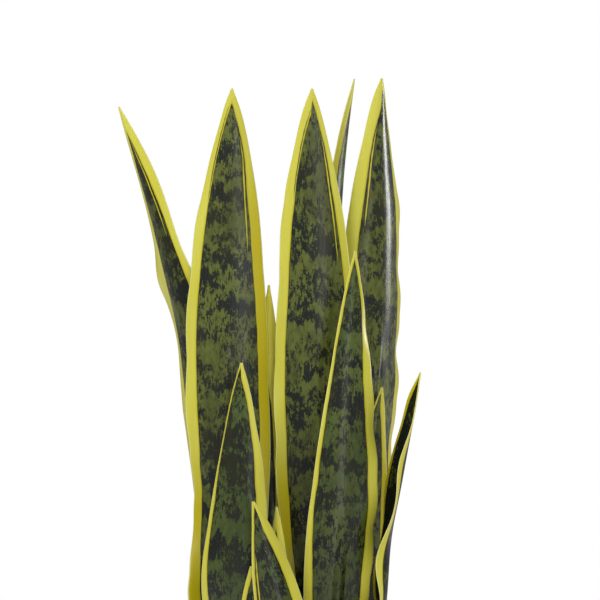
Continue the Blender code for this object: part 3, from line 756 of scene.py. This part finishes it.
def makeClayMaterial():
    material, tree, shader = newMaterial("terracotta", 0.85)
    where = addNode(tree, "ShaderNodeTexCoord").outputs["Object"]
    broad = noise(tree, where, pot["patches"], 4.0, 0.6)
    grain = noise(tree, where, pot["grain"], 3.0, 0.7)
    turning = addNode(tree, "ShaderNodeMapping", {"Vector": where, "Scale": pot["turning"]}).outputs[0]
    rings = noise(tree, turning, 1.0, 3.0, 0.5)
    body = blend(tree, ramp(tree, broad, 0.35, 0.68), pot["clay"], pot["paleClay"])
    body = blend(tree, ramp(tree, rings, 0.50, 0.72, 0.0, 0.45), body, pot["darkClay"])
    grit = ramp(tree, grain, 0.62, 0.70, 0.0, 0.5)
    body = blend(tree, grit, body, pot["darkClay"])
    # a faint bloom of lime where water has dried, strongest low down
    height = addNode(tree, "ShaderNodeSeparateXYZ", {0: where}).outputs[2]
    low = ramp(tree, height, pot["bloomTop"], 0.0)
    bloom = noise(tree, where, pot["bloom"], 5.0, 0.65)
    bloom = calculate(tree, "MULTIPLY", ramp(tree, bloom, 0.48, 0.68), calculate(
        tree, "ADD", calculate(tree, "MULTIPLY", low, 0.45), 0.10))
    body = blend(tree, bloom, body, pot["lime"])
    tree.links.new(body, shader.inputs["Base Color"])
    roughness = calculate(tree, "MULTIPLY", grain, pot["grainRoughness"])
    tree.links.new(calculate(tree, "ADD", pot["roughness"], roughness), shader.inputs["Roughness"])
    relief = calculate(tree, "ADD", calculate(tree, "MULTIPLY", rings, 0.6), calculate(
        tree, "MULTIPLY", grain, 0.4))
    bump = addNode(tree, "ShaderNodeBump", {
        "Height": relief, "Strength": 0.6, "Distance": pot["reliefDepth"]})
    tree.links.new(bump.outputs["Normal"], shader.inputs["Normal"])
    shader.inputs["Specular IOR Level"].default_value = 0.3
    return material


def raiseRings(rings):  # the selected disc is extruded from ring to ring
    radius, height = rings[0]
    for nextRadius, nextHeight in rings[1:]:
        bpy.ops.mesh.extrude_region_move(
            TRANSFORM_OT_translate={"value": (0, 0, nextHeight - height)})
        bpy.ops.transform.resize(value=(nextRadius / radius, nextRadius / radius, 1),
                                 center_override=(0, 0, nextHeight))
        radius, height = nextRadius, nextHeight


def makePot():
    clearSelection()
    bpy.ops.mesh.primitive_circle_add(vertices=pot["segments"], radius=pot["rings"][0][0],
                                      fill_type="NGON", location=(0, 0, 0))
    piece = bpy.context.object
    piece.name = piece.data.name = "clayPot"
    bpy.ops.object.mode_set(mode="EDIT")
    bpy.context.tool_settings.mesh_select_mode = (False, False, True)
    bpy.ops.mesh.select_all(action="SELECT")
    raiseRings(pot["rings"])
    bpy.ops.object.mode_set(mode="OBJECT")
    outwardNormals(piece)
    for number in range(pot["drainHoles"]):
        turn = 2 * math.pi * (number + 0.25) / pot["drainHoles"]
        clearSelection()
        bpy.ops.mesh.primitive_cylinder_add(
            vertices=48, radius=pot["drainRadius"], depth=pot["drillDepth"],
            location=(pot["drainRing"] * math.cos(turn), pot["drainRing"] * math.sin(turn),
                      pot["drillHeight"]))
        drill = bpy.context.object
        applyPlace(drill)
        hole = piece.modifiers.new("Drain", "BOOLEAN")
        hole.operation = "DIFFERENCE"
        hole.solver = "EXACT"
        hole.object = drill
        applyModifiers(piece)
        bpy.data.objects.remove(drill, do_unlink=True)
    soften = piece.modifiers.new("Rounding", "BEVEL")
    soften.width = pot["rounding"]
    soften.segments = pot["roundingSteps"]
    soften.limit_method = "ANGLE"
    soften.angle_limit = pot["sharpAngle"]
    applyModifiers(piece)
    clearSelection()
    piece.select_set(True)
    bpy.context.view_layer.objects.active = piece
    bpy.ops.object.shade_smooth_by_angle(angle=pot["sharpAngle"])
    piece.data.materials.append(makeClayMaterial())
    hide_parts("pot")
    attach(piece, "root")


makePot()
print("pot made")


# Potting mix: a crowned bed, with crumbs, bark chips and white perlite lying on it

soil = {
    "edge": (0.0835, 0.147), "crown": 0.153, "foot": (0.0700, 0.060), "rings": 22, "segments": 96,
    "lumpSpread": 0.011, "lumpHeight": 0.007, "rimGap": 0.003, "seed": 11,
    "brown": colour(58, 44, 34), "black": colour(30, 24, 20), "tan": colour(98, 74, 52),
    "barkBrown": colour(92, 62, 42), "perliteGrey": colour(222, 218, 208),
    "perliteWhite": (0.9, 0.89, 0.86, 1), "reliefDepth": 0.0008, "roundAngle": math.radians(50),
}

# loose pieces: how many, their smallest and largest radius, how flat they lie, then their
# finish: its name, its dark and light colours, its grain and its roughness
loosePieces = {
    "soilCrumbs": (420, (0.0008, 0.0024), 0.75, "darkCrumbs", "black", "tan", 320.0, 0.95),
    "barkChips": (70, (0.0025, 0.0060), 0.35, "barkChips", "brown", "barkBrown", 260.0, 0.85),
    "perlite": (46, (0.0009, 0.0020), 0.8, "perlite", "perliteGrey", "perliteWhite", 400.0, 0.9),
}


def soilHeight(x, y):  # the bed's height at this place, before its small lumps
    share = min(math.hypot(x, y) / soil["edge"][0], 1)
    return mix(soil["crown"], soil["edge"][1], share**2)


def makeSoilMaterial(name, dark, light, scale, roughness):
    material, tree, shader = newMaterial(name, roughness)
    where = addNode(tree, "ShaderNodeTexCoord").outputs["Object"]
    coarse = noise(tree, where, scale, 4.0, 0.65)
    fine = noise(tree, where, scale * 6, 3.0, 0.6)
    share = calculate(tree, "ADD", calculate(tree, "MULTIPLY", coarse, 0.6), calculate(
        tree, "MULTIPLY", fine, 0.4))
    tree.links.new(blend(tree, ramp(tree, share, 0.38, 0.64), dark, light), shader.inputs["Base Color"])
    tree.links.new(ramp(tree, fine, 0.3, 0.7, roughness - 0.1, roughness), shader.inputs["Roughness"])
    bump = addNode(tree, "ShaderNodeBump", {
        "Height": share, "Strength": 0.8, "Distance": soil["reliefDepth"]})
    tree.links.new(bump.outputs["Normal"], shader.inputs["Normal"])
    shader.inputs["Specular IOR Level"].default_value = 0.25
    return material


def makeSoilBed():
    clearSelection()
    bpy.ops.mesh.primitive_circle_add(vertices=soil["segments"], radius=soil["foot"][0],
                                      fill_type="NGON", location=(0, 0, soil["foot"][1]))
    piece = bpy.context.object
    piece.name = piece.data.name = "soilBed"
    applyPlace(piece)
    bpy.ops.object.mode_set(mode="EDIT")
    bpy.context.tool_settings.mesh_select_mode = (False, False, True)
    bpy.ops.mesh.select_all(action="SELECT")
    rings = [soil["foot"], soil["edge"]]
    for ring in range(1, soil["rings"]):
        radius = soil["edge"][0] * (1 - ring / soil["rings"])
        rings.append((radius, soilHeight(radius, 0)))
    raiseRings(rings)
    bpy.ops.mesh.poke()
    bpy.ops.object.mode_set(mode="OBJECT")
    outwardNormals(piece)
    lumps = bpy.data.textures.new("soilLumps", "CLOUDS")
    lumps.noise_scale = soil["lumpSpread"]
    lumps.noise_depth = 3
    top = piece.vertex_groups.new(name="top")
    for vertex in piece.data.vertices:
        if vertex.co.z > soil["edge"][1] - 0.0005:
            edgeGap = soil["edge"][0] - math.hypot(vertex.co.x, vertex.co.y)
            top.add([vertex.index], 0.25 + 0.75 * smoothStep(edgeGap / 0.01), "REPLACE")
    push = piece.modifiers.new("Lumps", "DISPLACE")
    push.texture = lumps
    push.texture_coords = "LOCAL"
    push.vertex_group = top.name
    push.direction = "Z"
    push.strength = soil["lumpHeight"]
    push.mid_level = 0.5
    applyModifiers(piece)
    bpy.ops.object.shade_smooth()
    piece.data.materials.append(makeSoilMaterial("pottingMix", soil["black"], soil["brown"], 190.0, 0.98))
    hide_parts("soil")
    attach(piece, "root")


def scatter(name, count, sizes, flatness, material):  # one joined piece of small lumps on the bed
    made = []
    for number in range(count):
        turn = chance.uniform(0, 2 * math.pi)
        reach = math.sqrt(chance.random()) * (soil["edge"][0] - soil["rimGap"])
        x, y = reach * math.cos(turn), reach * math.sin(turn)
        size = chance.uniform(*sizes)
        clearSelection()
        bpy.ops.mesh.primitive_ico_sphere_add(subdivisions=1, radius=size,
                                              location=(x, y, soilHeight(x, y) + size * flatness * 0.35),
                                              rotation=(chance.uniform(-0.4, 0.4), chance.uniform(-0.4, 0.4),
                                                        chance.uniform(0, 6.3)),
                                              scale=(1, chance.uniform(0.5, 0.95), flatness))
        lump = bpy.context.object
        for vertex in lump.data.vertices:
            vertex.co *= chance.uniform(0.8, 1.15)
        made.append(lump)
    for lump in made:
        lump.select_set(True)
    bpy.context.view_layer.objects.active = made[0]
    bpy.ops.object.join()
    piece = bpy.context.object
    piece.name = piece.data.name = name
    applyPlace(piece)
    bpy.ops.object.shade_smooth_by_angle(angle=soil["roundAngle"])
    piece.data.materials.append(material)
    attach(piece, "root")


makeSoilBed()
chance = random.Random(soil["seed"])
for pieceName, (count, sizes, flatness, finish, dark, light, scale, roughness) in loosePieces.items():
    scatter(pieceName, count, sizes, flatness,
            makeSoilMaterial(finish, soil[dark], soil[light], scale, roughness))
print("soil made")


# Floor, lights and camera

studio = {
    "floorRadius": 4.0, "floorGap": 0.0005, "floorGrey": (0.82, 0.82, 0.81, 1), "floorFade": (0.6, 1.8),
    "white": (1, 1, 1, 1), "skyLight": 0.28, "cameraDistance": 12.0, "lens": 847.06,
    "aim": (0.0085, 0.541),
}

# azimuth and elevation in degrees, distance, width and height in metres, and power in watts
lights = {
    "keyLeft": {"azimuth": -42, "elevation": 38, "distance": 2.0, "width": 1.2, "height": 1.4, "power": 20.5},
    "frontRight": {"azimuth": 14, "elevation": 8, "distance": 2.2, "width": 0.3, "height": 1.6, "power": 4},
    "frontHigh": {"azimuth": 12, "elevation": 44, "distance": 2.2, "width": 0.9, "height": 0.9, "power": 6},
    "frontSoft": {"azimuth": 3, "elevation": 8, "distance": 2.2, "width": 0.5, "height": 1.2, "power": 3,
                  "glossy": False},
    "stripRight": {"azimuth": 106, "elevation": 0, "distance": 1.5, "width": 0.44, "height": 0.28,
                   "power": 8, "aim": 0.68},
    "backHigh": {"azimuth": 190, "elevation": 58, "distance": 2.4, "width": 1.4, "height": 1.4, "power": 14},
}


def makeFloor():
    clearSelection()
    bpy.ops.mesh.primitive_circle_add(vertices=96, radius=studio["floorRadius"], fill_type="NGON",
                                      location=(0, 0, -studio["floorGap"]))
    floor = bpy.context.object
    floor.name = "floor"
    material, tree, shader = newMaterial("paleFloor", 0.7)
    where = addNode(tree, "ShaderNodeTexCoord").outputs["Object"]
    reach = addNode(tree, "ShaderNodeVectorMath", {0: where}, operation="LENGTH").outputs["Value"]
    far = ramp(tree, reach, *studio["floorFade"])
    shader.inputs["Base Color"].default_value = studio["floorGrey"]
    glow = addNode(tree, "ShaderNodeEmission")
    mixer = addNode(tree, "ShaderNodeMixShader", {0: far, 1: shader.outputs[0], 2: glow.outputs[0]})
    output = next(n for n in tree.nodes if n.type == "OUTPUT_MATERIAL")
    tree.links.new(mixer.outputs[0], output.inputs["Surface"])
    floor.data.materials.append(material)


def makeLight(name, azimuth, elevation, distance, width, height, power, aim=0.45, glossy=True):
    turn, tilt = math.radians(azimuth), math.radians(elevation)
    location = (distance * math.sin(turn) * math.cos(tilt), -distance * math.cos(turn) * math.cos(tilt),
                aim + distance * math.sin(tilt))
    bpy.ops.object.light_add(type="AREA", location=location,
                             rotation=(math.pi / 2 - tilt, 0, turn))
    light = bpy.context.object
    light.name = name
    light.data.shape = "RECTANGLE"
    light.data.size = width
    light.data.size_y = height
    light.data.energy = power
    light.visible_camera = False
    light.visible_glossy = glossy


def makeWorld():
    world = bpy.data.worlds.new("studioWhite")
    bpy.context.scene.world = world
    world.use_nodes = True
    tree = world.node_tree
    tree.nodes.clear()
    seen = addNode(tree, "ShaderNodeBackground", {"Color": studio["white"], "Strength": 1.0})
    lit = addNode(tree, "ShaderNodeBackground", {"Color": studio["white"], "Strength": studio["skyLight"]})
    ray = addNode(tree, "ShaderNodeLightPath")
    mixer = addNode(tree, "ShaderNodeMixShader",
                    {0: ray.outputs["Is Camera Ray"], 1: lit.outputs[0], 2: seen.outputs[0]})
    output = addNode(tree, "ShaderNodeOutputWorld")
    tree.links.new(mixer.outputs[0], output.inputs["Surface"])


def makeCamera():
    bpy.ops.object.camera_add(location=(studio["aim"][0], -studio["cameraDistance"], studio["aim"][1]),
                              rotation=(math.pi / 2, 0, 0))
    camera = bpy.context.object
    camera.name = "studioCamera"
    camera.data.lens = studio["lens"]
    camera.data.sensor_width = 36
    camera.data.clip_end = 100
    bpy.context.scene.camera = camera


makeFloor()
for lightName, lightValues in lights.items():
    makeLight(lightName, **lightValues)
makeWorld()
makeCamera()
bpy.context.scene.view_settings.view_transform = "Standard"
print("studio ready")
